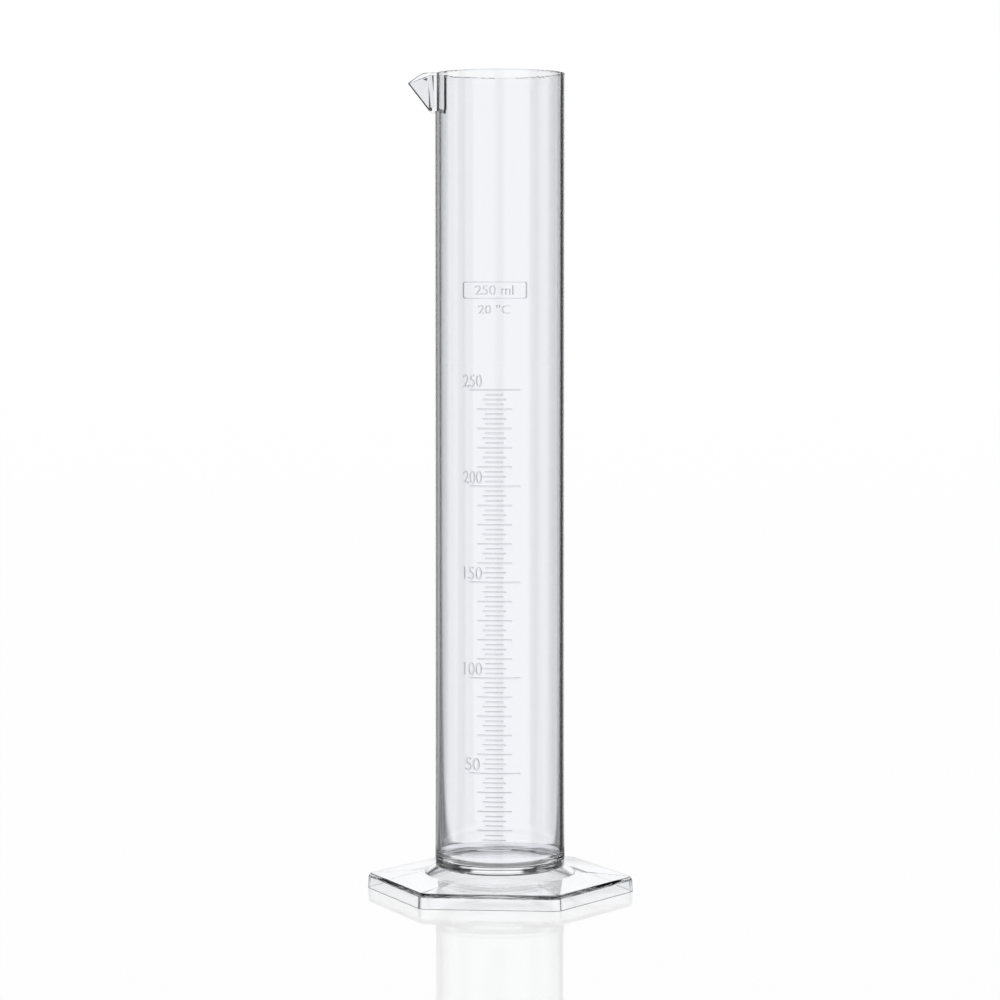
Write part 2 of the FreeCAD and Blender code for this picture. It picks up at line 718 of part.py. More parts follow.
def make_numerals():
    """A numeral over each 50 ml line."""
    for volume in range(50, int(CAPACITY) + 1, 50):
        text = str(volume)
        width = size("numeral_width") if len(text) == 3 else size("numeral_width_wide")
        foot = number(level_of(volume)) + size("numeral_rise")
        faces = text_strokes(text, size("numeral_centre"), foot, size("numeral_height"), width,
                             size("numeral_gap"), size("numeral_stroke"))
        add_mark(f"numeral_{volume}", faces)


def make_label():
    """A plain frame with the capacity in it, and the temperature that it was measured at below."""
    level = size("label_level")
    half_width = (size("label_width") - size("label_stroke")) / 2
    half_height = (size("label_height") - size("label_stroke")) / 2
    bend = size("label_corner")
    stroke = size("label_stroke")
    faces = []
    for side in (-1, 1):
        y = level + side * half_height
        left, right = (FreeCAD.Vector(way * (half_width - bend), y, 0) for way in (-1, 1))
        faces += straight_stroke(left, right, stroke)
        x = side * half_width
        low, high = (FreeCAD.Vector(x, level + way * (half_height - bend), 0) for way in (-1, 1))
        faces += straight_stroke(low, high, stroke)
    for quarter, (across, up) in enumerate(((1, 1), (-1, 1), (-1, -1), (1, -1))):
        centre = FreeCAD.Vector(across * (half_width - bend), level + up * (half_height - bend), 0)
        faces += round_stroke(centre, bend, 90 * quarter, 90 * quarter + 90, stroke)
    add_mark("label_frame", faces)
    text = size("label_text")
    note = size("note_text")
    width = size("label_text_width")
    gap = size("numeral_gap")
    pen = size("numeral_stroke")
    add_mark("capacity_label", text_strokes("250 ml", 0, level - text / 2, text, width, gap, pen))
    note_foot = level - size("note_drop") - note / 2
    add_mark("temperature_label", text_strokes("20 °C", 0, note_foot, note, width, gap, pen))


# ---------------------------------------------------------------- build, check and write


def sub_parts():
    """The objects that are written out: every body, and every raised mark."""
    kinds = ("PartDesign::Body", "Part::Feature")
    return [thing for thing in doc.Objects if thing.TypeId in kinds]


def check_document():
    """Stops at a failed object or an unsound shape."""
    for thing in doc.Objects:
        if "Invalid" in thing.State or "Error" in thing.State:
            raise ValueError(f"{thing.Label} failed: {thing.State}")
    for part in sub_parts():
        shape = part.Shape
        if shape.isNull() or not shape.isValid() or not shape.Solids:
            raise ValueError(f"{part.Label} has no sound solid")


def write_parts():
    """Writes each sub-part to its own file."""
    os.makedirs("parts", exist_ok=True)
    for part in sub_parts():
        part.Shape.exportStep(f"parts/{part.Label}.step")
        box = part.Shape.BoundBox
        print(f"{part.Label}: {len(part.Shape.Solids)} solid(s), {part.Shape.Volume:.1f} mm3,"
              f" z {box.ZMin:.2f} to {box.ZMax:.2f}")


fill_sheet()
make_tube()
make_pour_spout()
make_foot()
make_scale_lines()
make_numerals()
make_label()
doc.recompute()
check_document()
write_parts()
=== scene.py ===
"""Looks of a clear moulded measuring cylinder: tube, pouring spout, raised scale and hexagonal foot.

Metres, in the model's own frame: +Z points up the tube, the scale faces -Y and the spout points to -X.
"""

import logging
import math
from collections.abc import Callable, Sequence
from dataclasses import dataclass
from enum import Enum

import bmesh
import bpy
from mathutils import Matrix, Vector


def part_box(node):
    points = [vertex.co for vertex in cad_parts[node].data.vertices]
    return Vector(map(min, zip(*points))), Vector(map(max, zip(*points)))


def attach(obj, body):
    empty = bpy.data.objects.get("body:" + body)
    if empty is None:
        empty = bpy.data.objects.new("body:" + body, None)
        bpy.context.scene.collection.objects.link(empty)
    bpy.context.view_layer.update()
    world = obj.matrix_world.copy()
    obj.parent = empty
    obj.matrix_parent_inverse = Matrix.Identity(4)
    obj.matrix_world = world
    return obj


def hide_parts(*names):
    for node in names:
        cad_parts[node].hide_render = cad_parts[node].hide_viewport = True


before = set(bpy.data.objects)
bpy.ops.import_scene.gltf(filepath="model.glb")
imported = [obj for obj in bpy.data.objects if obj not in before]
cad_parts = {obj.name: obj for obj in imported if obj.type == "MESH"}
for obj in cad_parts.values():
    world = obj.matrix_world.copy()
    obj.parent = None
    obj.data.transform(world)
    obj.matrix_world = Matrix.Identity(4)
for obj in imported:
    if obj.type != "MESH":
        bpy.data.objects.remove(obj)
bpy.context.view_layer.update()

MM = 0.001
FULL_TURN = 2 * math.pi
TURN_STEPS = 320
MERGE_WITHIN = 0.002 * MM
SAME_LEVEL = 1e-6
BODY = "root"

# How far a cutting tool reaches past what it cuts, in millimetres.
PAST = 2
# Least share of a face's normal that points the wanted way.
FACING = 0.9

log = logging.getLogger("measuring_cylinder")

Point = tuple[float, float, float]
Outline = list[tuple[float, float]]


class Element(Enum):
    """What a selection in edit mode is made of."""

    EDGES = "EDGE"
    FACES = "FACE"


class Join(Enum):
    """How one solid changes another."""

    ADD = "UNION"
    CUT = "DIFFERENCE"


class Slot(Enum):
    """Names for the two finishes, which hand_over takes but does not read."""

    CLEAR = "clear_plastic"
    MARKS = "raised_marks"


# ---------------------------------------------------------------- colours and nodes


def linear(code: str) -> tuple[float, float, float, float]:
    """Turns an sRGB hex code into a linear colour.

    Args:
        code: Six hex digits, with or without a leading mark.

    Returns:
        Red, green, blue and an alpha of 1.
    """
    digits = code.lstrip("#")
    shares = [int(digits[i : i + 2], 16) / 255 for i in (0, 2, 4)]
    red, green, blue = (s / 12.92 if s <= 0.04045 else ((s + 0.055) / 1.055) ** 2.4 for s in shares)
    return red, green, blue, 1.0


def add_node(
    tree: bpy.types.NodeTree,
    kind: str,
    settings: dict[str, object] | None = None,
    values: dict[str | int, object] | None = None,
    links: dict[str | int, bpy.types.NodeSocket] | None = None,
) -> bpy.types.Node:
    """Adds a node with its settings, constants and incoming links.

    Args:
        tree: The tree that gets the node.
        kind: The node's type name.
        settings: Attributes of the node.
        values: Constants by input name or number.
        links: Sockets that feed the inputs, by input name or number.

    Returns:
        The node.
    """
    node = tree.nodes.new(kind)
    for name, setting in (settings or {}).items():
        setattr(node, name, setting)
    for name, value in (values or {}).items():
        node.inputs[name].default_value = value
    for name, socket in (links or {}).items():
        tree.links.new(socket, node.inputs[name])
    return node


# ---------------------------------------------------------------- bench work


def put_down() -> None:
    """Leaves edit mode and selects nothing."""
    if bpy.context.object and bpy.context.object.mode != "OBJECT":
        bpy.ops.object.mode_set(mode="OBJECT")
    bpy.ops.object.select_all(action="DESELECT")


def take_up(piece: bpy.types.Object) -> None:
    """Makes one piece the only selected and the active one."""
    put_down()
    piece.select_set(True)
    bpy.context.view_layer.objects.active = piece


def named(name: str) -> bpy.types.Object:
    """Names the object that was just added, and its mesh."""
    piece = bpy.context.object
    piece.name = piece.data.name = name
    return piece


def pick(piece: bpy.types.Object, kind: Element, wanted: Callable[..., bool]) -> int:
    """Selects, in edit mode, only what passes a test.

    Args:
        piece: The piece, which is in edit mode.
        kind: Edges or faces.
        wanted: The test, given an element of the mesh.

    Returns:
        How many elements were selected.
    """
    bpy.ops.mesh.select_mode(type=kind.value)
    bpy.ops.mesh.select_all(action="DESELECT")
    mesh = bmesh.from_edit_mesh(piece.data)
    pool = {Element.EDGES: mesh.edges, Element.FACES: mesh.faces}[kind]
    found = [element for element in pool if wanted(element)]
    for element in found:
        element.select = True
    mesh.select_flush_mode()
    bmesh.update_edit_mesh(piece.data)
    return len(found)


def arc(centre: tuple[float, float], radius: float, start: float, end: float, count: int) -> Outline:
    """Points along an arc in a plane.

    Args:
        centre: The arc's centre.
        radius: Its radius.
        start: First angle in degrees.
        end: Last angle in degrees.
        count: Number of points, both ends included.

    Returns:
        The points, from start to end.
    """
    turns = [math.radians(start + (end - start) * i / (count - 1)) for i in range(count)]
    return [(centre[0] + radius * math.cos(turn), centre[1] + radius * math.sin(turn)) for turn in turns]


def draw(name: str, points: Sequence[Point]) -> bpy.types.Object:
    """Draws a chain of edges, as by extruding one vertex after another, and stays in edit mode.

    Args:
        name: Name of the piece.
        points: The chain's corners.

    Returns:
        The piece, with its last vertex selected.
    """
    put_down()
    bpy.ops.mesh.primitive_plane_add(size=MM)
    piece = named(name)
    bpy.ops.object.mode_set(mode="EDIT")
    bpy.ops.mesh.select_mode(type="VERT")
    bpy.ops.mesh.select_all(action="SELECT")
    bpy.ops.mesh.merge(type="CENTER")
    bpy.ops.transform.translate(value=points[0])
    for here, there in zip(points, points[1:]):
        step = tuple(b - a for a, b in zip(here, there))
        bpy.ops.mesh.extrude_region_move(TRANSFORM_OT_translate={"value": step})
    return piece


def clean() -> None:
    """Merges doubled vertices and turns all faces outwards, in edit mode."""
    bpy.ops.mesh.select_mode(type="VERT")
    bpy.ops.mesh.select_all(action="SELECT")
    bpy.ops.mesh.remove_doubles(threshold=MERGE_WITHIN)
    bpy.ops.mesh.normals_make_consistent(inside=False)


def turned(name: str, outline: Outline) -> bpy.types.Object:
    """Turns an outline into a closed solid round the Z axis, as on a lathe.

    Args:
        name: Name of the piece.
        outline: Radius and height of each corner. Both ends lie on the axis.

    Returns:
        The piece, in object mode.
    """
    piece = draw(name, [(radius, 0.0, height) for radius, height in outline])
    bpy.ops.mesh.select_all(action="SELECT")
    bpy.ops.mesh.spin(steps=TURN_STEPS, angle=FULL_TURN, center=(0, 0, 0), axis=(0, 0, 1))
    clean()
    put_down()
    return piece


def prism(name: str, outline: Outline, width: float) -> bpy.types.Object:
    """Pulls a closed outline in the XZ plane into a solid that is centred on that plane.

    Args:
        name: Name of the piece.
        outline: X and Z of each corner.
        width: Length along Y.

    Returns:
        The piece, in object mode.
    """
    piece = draw(name, [(x, -width / 2, z) for x, z in outline])
    bpy.ops.mesh.select_all(action="SELECT")
    bpy.ops.mesh.edge_face_add()
    bpy.ops.mesh.extrude_region_move(TRANSFORM_OT_translate={"value": (0, width, 0)})
    clean()
    put_down()
    return piece


def lofted(name: str, lower: Sequence[Point], upper: Sequence[Point]) -> bpy.types.Object:
    """Bridges two closed outlines with the same number of corners, and closes both ends.

    Args:
        name: Name of the piece.
        lower: Corners of the first outline.
        upper: Corners of the second one.

    Returns:
        The piece, in object mode.
    """
    rings = []
    for end, points in enumerate((lower, upper)):
        rings.append(draw(f"{name}_{end}", points))
        bpy.ops.mesh.select_all(action="SELECT")
        bpy.ops.mesh.edge_face_add()
        bpy.ops.mesh.delete(type="ONLY_FACE")
        put_down()
    take_up(rings[0])
    rings[1].select_set(True)
    bpy.ops.object.join()
    piece = named(name)
    bpy.ops.object.mode_set(mode="EDIT")
    bpy.ops.mesh.select_mode(type="EDGE")
    bpy.ops.mesh.select_all(action="SELECT")
    bpy.ops.mesh.bridge_edge_loops()
    bpy.ops.mesh.select_all(action="SELECT")
    bpy.ops.mesh.fill_holes(sides=0)
    clean()
    put_down()
    return piece


def finish_modifier(piece: bpy.types.Object, kind: str, **settings: object) -> None:
    """Adds a modifier with its settings and applies it."""
    take_up(piece)
    bpy.ops.object.modifier_add(type=kind)
    modifier = piece.modifiers[-1]
    for name, setting in settings.items():
        setattr(modifier, name, setting)
    bpy.ops.object.modifier_apply(modifier=modifier.name)


def change_by(piece: bpy.types.Object, tool: bpy.types.Object, join: Join) -> None:
    """Adds a solid to a piece or cuts it out of it, and takes the solid away."""
    finish_modifier(piece, "BOOLEAN", operation=join.value, object=tool, solver="EXACT")
    bpy.data.objects.remove(tool)


def settle(piece: bpy.types.Object) -> None:
    """Moves a piece's place, turn and scale into its mesh."""
    take_up(piece)
    bpy.ops.object.transform_apply(location=True, rotation=True, scale=True)


def smooth(piece: bpy.types.Object, sharp_from: float) -> None:
    """Shades a piece smooth, apart from edges that turn by more than an angle in degrees."""
    take_up(piece)
    bpy.ops.object.shade_smooth_by_angle(angle=math.radians(sharp_from))


def even_shading(piece: bpy.types.Object) -> None:
    """Lets large faces keep their own direction, so that only the narrow faces between them shade round."""
    finish_modifier(piece, "WEIGHTED_NORMAL", mode="FACE_AREA", weight=100, keep_sharp=True)


def raise_face(height: float, slope: float) -> None:
    """Raises the selected flat faces, in edit mode, with a sloping edge all round.

    Args:
        height: How far they stand out, along -Y.
        slope: Width and height of the sloping edge.
    """
    bpy.ops.mesh.extrude_region_move(TRANSFORM_OT_translate={"value": (0, slope - height, 0)})
    bpy.ops.mesh.inset(thickness=slope, depth=slope, use_even_offset=True)


def wrap(piece: bpy.types.Object, radius: float) -> None:
    """Bends a flat piece, whose origin is on the front of a cylinder, round that cylinder's Z axis."""
    across = [corner[0] for corner in piece.bound_box]
    angle = (max(across) - min(across)) / radius
    finish_modifier(piece, "SIMPLE_DEFORM", deform_method="BEND", deform_axis="Z", angle=angle)


def hand_over(
    piece: bpy.types.Object, material: bpy.types.Material, slot: Slot, *nodes: str
) -> None:
    """Dresses a finished piece and enters it in the frame.

    Args:
        piece: The finished piece.
        material: Its finish.
        slot: Not used.
        nodes: The nodes that it stands for.
    """
    piece.data.materials.clear()
    piece.data.materials.append(material)
    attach(piece, BODY)
    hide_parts(*nodes)
    log.info("%s: %d faces, stands for %s", piece.name, len(piece.data.polygons), ", ".join(nodes))


# ---------------------------------------------------------------- finishes


@dataclass(frozen=True)
class ClearPolystyrene:
    """Crystal-clear polystyrene as it leaves a polished mould.

    Clear and glossy with a high index of refraction, so edges are drawn by what they bend the
    light from. The melt leaves faint waves, some centimetres long, along its flow.
    """

    name: str = "clear_polystyrene_moulded"
    tint: str = "#FBFCFE"
    ior: float = 1.59
    wave_length: float = 18 * MM
    flow_stretch: float = 0.25
    wave_height: float = 0.004 * MM
    scuff_length: float = 1.5 * MM
    least_rough: float = 0.0
    most_rough: float = 0.02

    def material(self) -> bpy.types.Material:
        """Builds the finish as a node material."""
        made = bpy.data.materials.new(self.name)
        made.use_nodes = True
        tree = made.node_tree
        tree.nodes.clear()
        place = add_node(tree, "ShaderNodeTexCoord")
        # Flow runs up the piece, so the waves are stretched along Z.
        flow = add_node(
            tree,
            "ShaderNodeMapping",
            values={"Scale": (1.0, 1.0, self.flow_stretch)},
            links={"Vector": place.outputs["Object"]},
        )
        waves = add_node(
            tree,
            "ShaderNodeTexNoise",
            values={"Scale": 1 / self.wave_length, "Detail": 1.0, "Roughness": 0.4},
            links={"Vector": flow.outputs["Vector"]},
        )
        bump = add_node(
            tree,
            "ShaderNodeBump",
            values={"Strength": 1.0, "Distance": self.wave_height},
            links={"Height": waves.outputs["Fac"]},
        )
        scuffs = add_node(
            tree,
            "ShaderNodeTexNoise",
            values={"Scale": 1 / self.scuff_length, "Detail": 3.0},
            links={"Vector": place.outputs["Object"]},
        )
        rough = add_node(
            tree,
            "ShaderNodeMapRange",
            values={"From Min": 0.4, "From Max": 0.8, "To Min": self.least_rough, "To Max": self.most_rough},
            links={"Value": scuffs.outputs["Fac"]},
        )
        surface = add_node(
            tree,
            "ShaderNodeBsdfPrincipled",
            values={"Base Color": linear(self.tint), "IOR": self.ior, "Transmission Weight": 1.0},
            links={"Roughness": rough.outputs["Result"], "Normal": bump.outputs["Normal"]},
        )
        add_node(tree, "ShaderNodeOutputMaterial", links={"Surface": surface.outputs["BSDF"]})
        return made


# ---------------------------------------------------------------- tube and spout


@dataclass
class PourTube:
    """Round tube with its closed floor and the V-shaped pouring spout, which are one moulding.

    Lengths are in millimetres.
    """

    bore: float = 21.7
    floor_thickness: float = 1.7
    floor_corner: float = 4.0
    gate_radius: float = 1.5
    gate_height: float = 0.5
    tip_reach: float = 9.8
    tip_drop: float = 3.2
    ridge_foot_reach: float = 1.7
    neck_reach: float = 1.3
    neck_half_width: float = 8.2
    neck_wall: float = 1.0
    ridge_wall: float = 0.8
    spout_floor: float = 1.2
    into_bore: float = 3
    lip_slope: float = 28.0
    lip_radius: float = 5.0
    base_radius: float = 0.3
    rim_radius: float = 0.3
    hold: float = 0.4
    seat_gap: float = 0.02
    above: float = 8
    aside: float = 10
    wide: float = 60
    below_tip: float = 1.5
    level_from: float = 0.8
    upright_to: float = 0.5
    crease: float = 24

    def __post_init__(self) -> None:
        """Reads the tube's and spout's boxes."""
        low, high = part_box("tube")
        self.outer = high.x / MM
        self.bottom = low.z / MM + self.gate_height
        self.floor = self.bottom + self.floor_thickness
        self.rim = high.z / MM
        self.spout_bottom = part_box("pour_spout")[0].z / MM

    def build(self, material: bpy.types.Material) -> None:
        """Makes and dresses the piece."""
        piece = self.blank()
        change_by(piece, self.spout(), Join.ADD)
        change_by(piece, self.core(), Join.CUT)
        change_by(piece, self.channel(), Join.CUT)
        change_by(piece, self.above_lip(), Join.CUT)
        self.round_rim(piece)
        smooth(piece, self.crease)
        even_shading(piece)
        hand_over(piece, material, Slot.CLEAR, "tube", "pour_spout")

    def blank(self) -> bpy.types.Object:
        """Solid bar with the tube's outside and the gate's stub.

        Rings of vertices hold the wall straight beside the curves.
        """
        edge = self.base_radius
        base = self.bottom + self.seat_gap
        outline = [
            (0.0, base - self.gate_height),
            (self.gate_radius, base - self.gate_height),
            (self.gate_radius, base),
        ]
        outline += arc((self.outer - edge, base + edge), edge, -90, 0, 5)
        outline += self.wall(self.outer, base + edge + self.hold, self.rim + PAST)
        return turned("pour_tube", [(r * MM, z * MM) for r, z in outline])

    def wall(self, radius: float, low: float, high: float) -> Outline:
        """Corners of a straight wall and of the level end above it.

        Args:
            radius: The wall's radius.
            low: Height of the first ring.
            high: Height of the end.

        Returns:
            Radius and height of each corner, up to the axis.
        """
        rings = (low, self.spout_bottom - self.hold, self.rim - self.rim_radius - self.hold, high)
        return [(radius, level) for level in rings] + [(0.0, high)]

    def core(self) -> bpy.types.Object:
        """Solid with the shape of the bore."""
        corner = self.floor_corner
        outline = [(0.0, self.floor)]
        outline += arc((self.bore - corner, self.floor + corner), corner, -90, 0, 13)
        outline += self.wall(self.bore, self.floor + corner + self.hold, self.rim + 2 * PAST)
        return turned("bore", [(r * MM, z * MM) for r, z in outline])

    def tip_at(self, level: float) -> float:
        """Distance of the outer ridge from the axis at a height."""
        slope = (self.tip_reach - self.ridge_foot_reach) / (self.rim - self.tip_drop - self.spout_bottom)
        return self.outer + self.ridge_foot_reach + slope * (level - self.spout_bottom)

    def outline_at(self, level: float, inside: bool) -> list[Point]:
        """Level outline of the spout: the V's tip, and a straight neck that ends inside the bore.

        Args:
            level: Height.
            inside: True for the pouring channel, False for the spout's outside.

        Returns:
            Five corners in metres.
        """
        tip = self.tip_at(level)
        front = tip - self.ridge_wall if inside else tip
        half = self.neck_half_width - self.neck_wall if inside else self.neck_half_width
        turn = front - (tip - self.outer - self.neck_reach) * half / self.neck_half_width
        back = self.bore - self.into_bore
        corners = [(-front, 0.0), (-turn, -half), (-back, -half), (-back, half), (-turn, half)]
        return [(x * MM, y * MM, level * MM) for x, y in corners]

    def spout(self) -> bpy.types.Object:
        """Outside of the spout as a solid, carried on above the rim."""
        levels = (self.spout_bottom, self.rim + PAST)
        return lofted("spout_outside", *(self.outline_at(z, False) for z in levels))

    def channel(self) -> bpy.types.Object:
        """Inside of the spout as a solid, carried on above the rim."""
        levels = (self.spout_bottom + self.spout_floor, self.rim + PAST)
        return lofted("spout_inside", *(self.outline_at(z, True) for z in levels))

    def above_lip(self) -> bpy.types.Object:
        """What is taken off above the rim and the falling lip."""
        slope = math.radians(self.lip_slope)
        fall = self.lip_radius * (1 - math.cos(slope))
        tip = self.outer + self.tip_reach
        level_end = tip - (self.tip_drop - fall) / math.tan(slope) - self.lip_radius * math.sin(slope)
        right = self.outer + self.aside
        left = -tip - self.above
        top = self.rim + self.above
        centre = (-level_end, self.rim - self.lip_radius)
        outline = [(right, self.rim)]
        outline += arc(centre, self.lip_radius, 90, 90 + self.lip_slope, 7)
        outline += [(left, self.rim - self.tip_drop - self.above * math.tan(slope))]
        outline += [(left, top), (right, top)]
        return prism("above_lip", [(x * MM, z * MM) for x, z in outline], self.wide * MM)

    def round_rim(self, piece: bpy.types.Object) -> None:
        """Rounds the edges of the rim and the lip."""
        lowest = (self.rim - self.tip_drop - self.below_tip) * MM

        def on_rim(edge: bmesh.types.BMEdge) -> bool:
            if len(edge.link_faces) != 2 or min(v.co.z for v in edge.verts) < lowest:
                return False
            ups = sorted(face.normal.z for face in edge.link_faces)
            return ups[1] > self.level_from and ups[0] < self.upright_to

        take_up(piece)
        bpy.ops.object.mode_set(mode="EDIT")
        found = pick(piece, Element.EDGES, on_rim)
        bpy.ops.mesh.bevel(offset=self.rim_radius * MM, segments=4, profile=0.5, affect="EDGES")
        put_down()
        log.info("rounded %d edges of the rim", found)


# ---------------------------------------------------------------- foot


@dataclass
class HexFoot:
    """Hollow six-sided foot with a shallow faceted top and a conical collar under the tube.

    Lengths are in millimetres.
    """

    sides: int = 6
    corner: float = 4.0
    edge_height: float = 5.3
    edge_radius: float = 1.2
    draft: float = 3.0
    shell: float = 1.5
    collar_radius: float = 27.1
    collar_level: float = 6.6
    shoulder_width: float = 0.75
    seat_width: float = 3.5
    near_level: float = 0.98
    crease: float = 20

    def __post_init__(self) -> None:
        """Reads the foot's box and the tube's."""
        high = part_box("foot")[1]
        self.inradius = high.y / MM
        self.seat = high.z / MM
        self.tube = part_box("tube")[1].x / MM

    def build(self, material: bpy.types.Material) -> None:
        """Makes and dresses the piece."""
        piece = self.block("hexagonal_foot", self.inradius, self.corner, 0.0, self.edge_height)
        self.slope_top(piece, self.inradius, self.edge_height)
        self.round_edge(piece)
        change_by(piece, self.collar(), Join.ADD)
        inside = self.inradius - self.shell
        roof = self.edge_height - self.shell
        hollow = self.block("under_foot", inside, self.corner - self.shell, -PAST / 2, roof)
        self.slope_top(hollow, inside, roof)
        change_by(piece, hollow, Join.CUT)
        change_by(piece, self.under_collar(), Join.CUT)
        smooth(piece, self.crease)
        self.keep_hips(piece)
        even_shading(piece)
        hand_over(piece, material, Slot.CLEAR, "foot")

    def block(
        self, name: str, inradius: float, corner: float, low: float, high: float
    ) -> bpy.types.Object:
        """Six-sided block with rounded corners on the X axis, narrower at its top by the draft.

        Args:
            name: Name of the piece.
            inradius: Half the width across flats at height 0.
            corner: Radius of the upright corners.
            low: Height of its underside.
            high: Height of its top.

        Returns:
            The solid.
        """
        slope = math.tan(math.radians(self.draft))
        put_down()
        bpy.ops.mesh.primitive_cylinder_add(
            vertices=self.sides,
            radius=(inradius - low * slope) / math.cos(math.pi / self.sides) * MM,
            depth=(high - low) * MM,
            location=(0, 0, (high + low) / 2 * MM),
            rotation=(0, 0, math.pi / self.sides),
        )
        piece = named(name)
        settle(piece)
        bpy.ops.object.mode_set(mode="EDIT")
        pick(piece, Element.EDGES, lambda edge: abs(edge.verts[0].co.z - edge.verts[1].co.z) > MM)
        reach = corner * math.tan(math.pi / self.sides) * MM
        bpy.ops.mesh.bevel(offset=reach, segments=6, profile=0.5, affect="EDGES")
        pick(piece, Element.FACES, lambda face: face.normal.z > FACING)
        share = (inradius - high * slope) / (inradius - low * slope)
        bpy.ops.transform.resize(value=(share, share, 1), center_override=(0, 0, 0))
        put_down()
        return piece

    def slope_top(self, piece: bpy.types.Object, inradius: float, high: float) -> None:
        """Raises the top into six shallow facets round a level middle.

        Args:
            piece: A block.
            inradius: Half its width across flats at height 0.
            high: Height of its top.
        """
        top = inradius - high * math.tan(math.radians(self.draft))
        run = self.inradius - self.collar_radius - self.shoulder_width
        share = (top - run) / top
        take_up(piece)
        bpy.ops.object.mode_set(mode="EDIT")
        pick(piece, Element.FACES, lambda face: face.normal.z > FACING)
        rise = (self.collar_level - self.edge_height) * MM
        bpy.ops.mesh.extrude_region_move(TRANSFORM_OT_translate={"value": (0, 0, rise)})
        bpy.ops.transform.resize(value=(share, share, 1), center_override=(0, 0, 0))
        put_down()

    def keep_hips(self, piece: bpy.types.Object) -> None:
        """Keeps the shallow edges between the facets of the top sharp."""

        def hip(edge: bmesh.types.BMEdge) -> bool:
            ups = [abs(face.normal.z) for face in edge.link_faces]
            return edge.is_manifold and min(ups) > self.near_level

        take_up(piece)
        bpy.ops.object.mode_set(mode="EDIT")
        pick(piece, Element.EDGES, hip)
        bpy.ops.mesh.mark_sharp()
        put_down()

    def round_edge(self, piece: bpy.types.Object) -> None:
        """Rounds the edge between the skirt and the top."""
        take_up(piece)
        bpy.ops.object.mode_set(mode="EDIT")
        level = self.edge_height * MM
        pick(piece, Element.EDGES, lambda edge: all(abs(v.co.z - level) < SAME_LEVEL for v in edge.verts))
        bpy.ops.mesh.bevel(offset=self.edge_radius * MM, segments=5, profile=0.5, affect="EDGES")
        put_down()

    def collar(self) -> bpy.types.Object:
        """Conical collar that carries the tube."""
        inside = self.edge_height / 2
        outline = [(0, inside), (self.collar_radius, inside), (self.collar_radius, self.collar_level)]
        outline += [(self.tube, self.seat), (0, self.seat)]
        return turned("collar", [(r * MM, z * MM) for r, z in outline])

    def under_collar(self) -> bpy.types.Object:
        """Hollow under the collar, open through the seat's ring."""
        inside = self.edge_height / 2
        wide = self.collar_radius - self.shell
        seat = self.tube - self.seat_width
        outline = [(0, inside), (wide, inside), (wide, self.collar_level - self.shell)]
        outline += [(self.tube - self.shell, self.seat - self.shell), (seat, self.seat - self.shell)]
        outline += [(seat, self.seat + PAST), (0, self.seat + PAST)]
        return turned("under_collar", [(r * MM, z * MM) for r, z in outline])


# ---------------------------------------------------------------- raised marks


@dataclass
class ScaleLines:
    """One length of raised scale line, repeated up the front of the tube.

    Lengths are in millimetres.
    """

    node: str
    half_angle: float
    rows: Sequence[tuple[int, float]]
    stroke: float = 0.5
    proud: float = 0.3
    gap: float = 0.01
    bow_points: int = 7
    end_steps: Sequence[tuple[float, float]] = ((0.14, 0.8), (0.08, 0.55))
    crease: float = 50

    def build(self, material: bpy.types.Material, tube: float, rise: float) -> None:
        """Makes and dresses the lines.

        Args:
            material: Their finish.
            tube: Outside radius of the tube.
            rise: Height of one millilitre.
        """
        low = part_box(self.node)[0].z / MM + self.stroke / 2
        piece = self.line(tube + self.gap, low)
        for count, pitch in self.rows:
            finish_modifier(
                piece,
                "ARRAY",
                count=count,
                use_relative_offset=False,
                use_constant_offset=True,
                constant_offset_displace=(0, 0, pitch * rise * MM),
            )
        smooth(piece, self.crease)
        hand_over(piece, material, Slot.MARKS, self.node)

    def line(self, radius: float, level: float) -> bpy.types.Object:
        """One line: a rounded bead, bent round the tube and tapered at both ends.

        Args:
            radius: Radius of the bead's flat back.
            level: Height of its middle.

        Returns:
            The line.
        """
        half = math.radians(self.half_angle)
        bow = [
            (-(radius + self.proud * math.sin(turn)), level - self.stroke / 2 * math.cos(turn))
            for turn in (math.pi * i / (self.bow_points - 1) for i in range(self.bow_points))
        ]
        piece = draw(f"raised_{self.node}", [(0.0, y * MM, z * MM) for y, z in bow])
        bpy.ops.mesh.select_all(action="SELECT")
        bpy.ops.mesh.edge_face_add()
        bpy.ops.transform.rotate(value=-half, orient_axis="Z", center_override=(0, 0, 0))
        steps = max(4, round(self.half_angle))
        bpy.ops.mesh.spin(steps=steps, angle=2 * half, center=(0, 0, 0), axis=(0, 0, 1))
        clean()
        for side in (-1, 1):
            self.taper(piece, side, radius, level)
        clean()
        put_down()
        return piece

    def taper(self, piece: bpy.types.Object, side: int, radius: float, level: float) -> None:
        """Draws one end of a line out to a rounded stop.

        Args:
            piece: The line, in edit mode.
            side: -1 for the left end, 1 for the right one.
            radius: Radius of the bead's flat back.
            level: Height of its middle.
        """
        turn = math.radians(self.half_angle)
        along = Vector((side * math.cos(turn), math.sin(turn), 0))
        back = Vector((side * math.sin(turn), -math.cos(turn), 0)) * radius * MM + Vector((0, 0, level * MM))
        pick(piece, Element.FACES, lambda face: face.normal.dot(along) > FACING)
        for step, share in self.end_steps:
            move = along * step * MM
            back += move
            bpy.ops.mesh.extrude_region_move(TRANSFORM_OT_translate={"value": move})
            bpy.ops.transform.resize(value=(share, share, share), center_override=back)


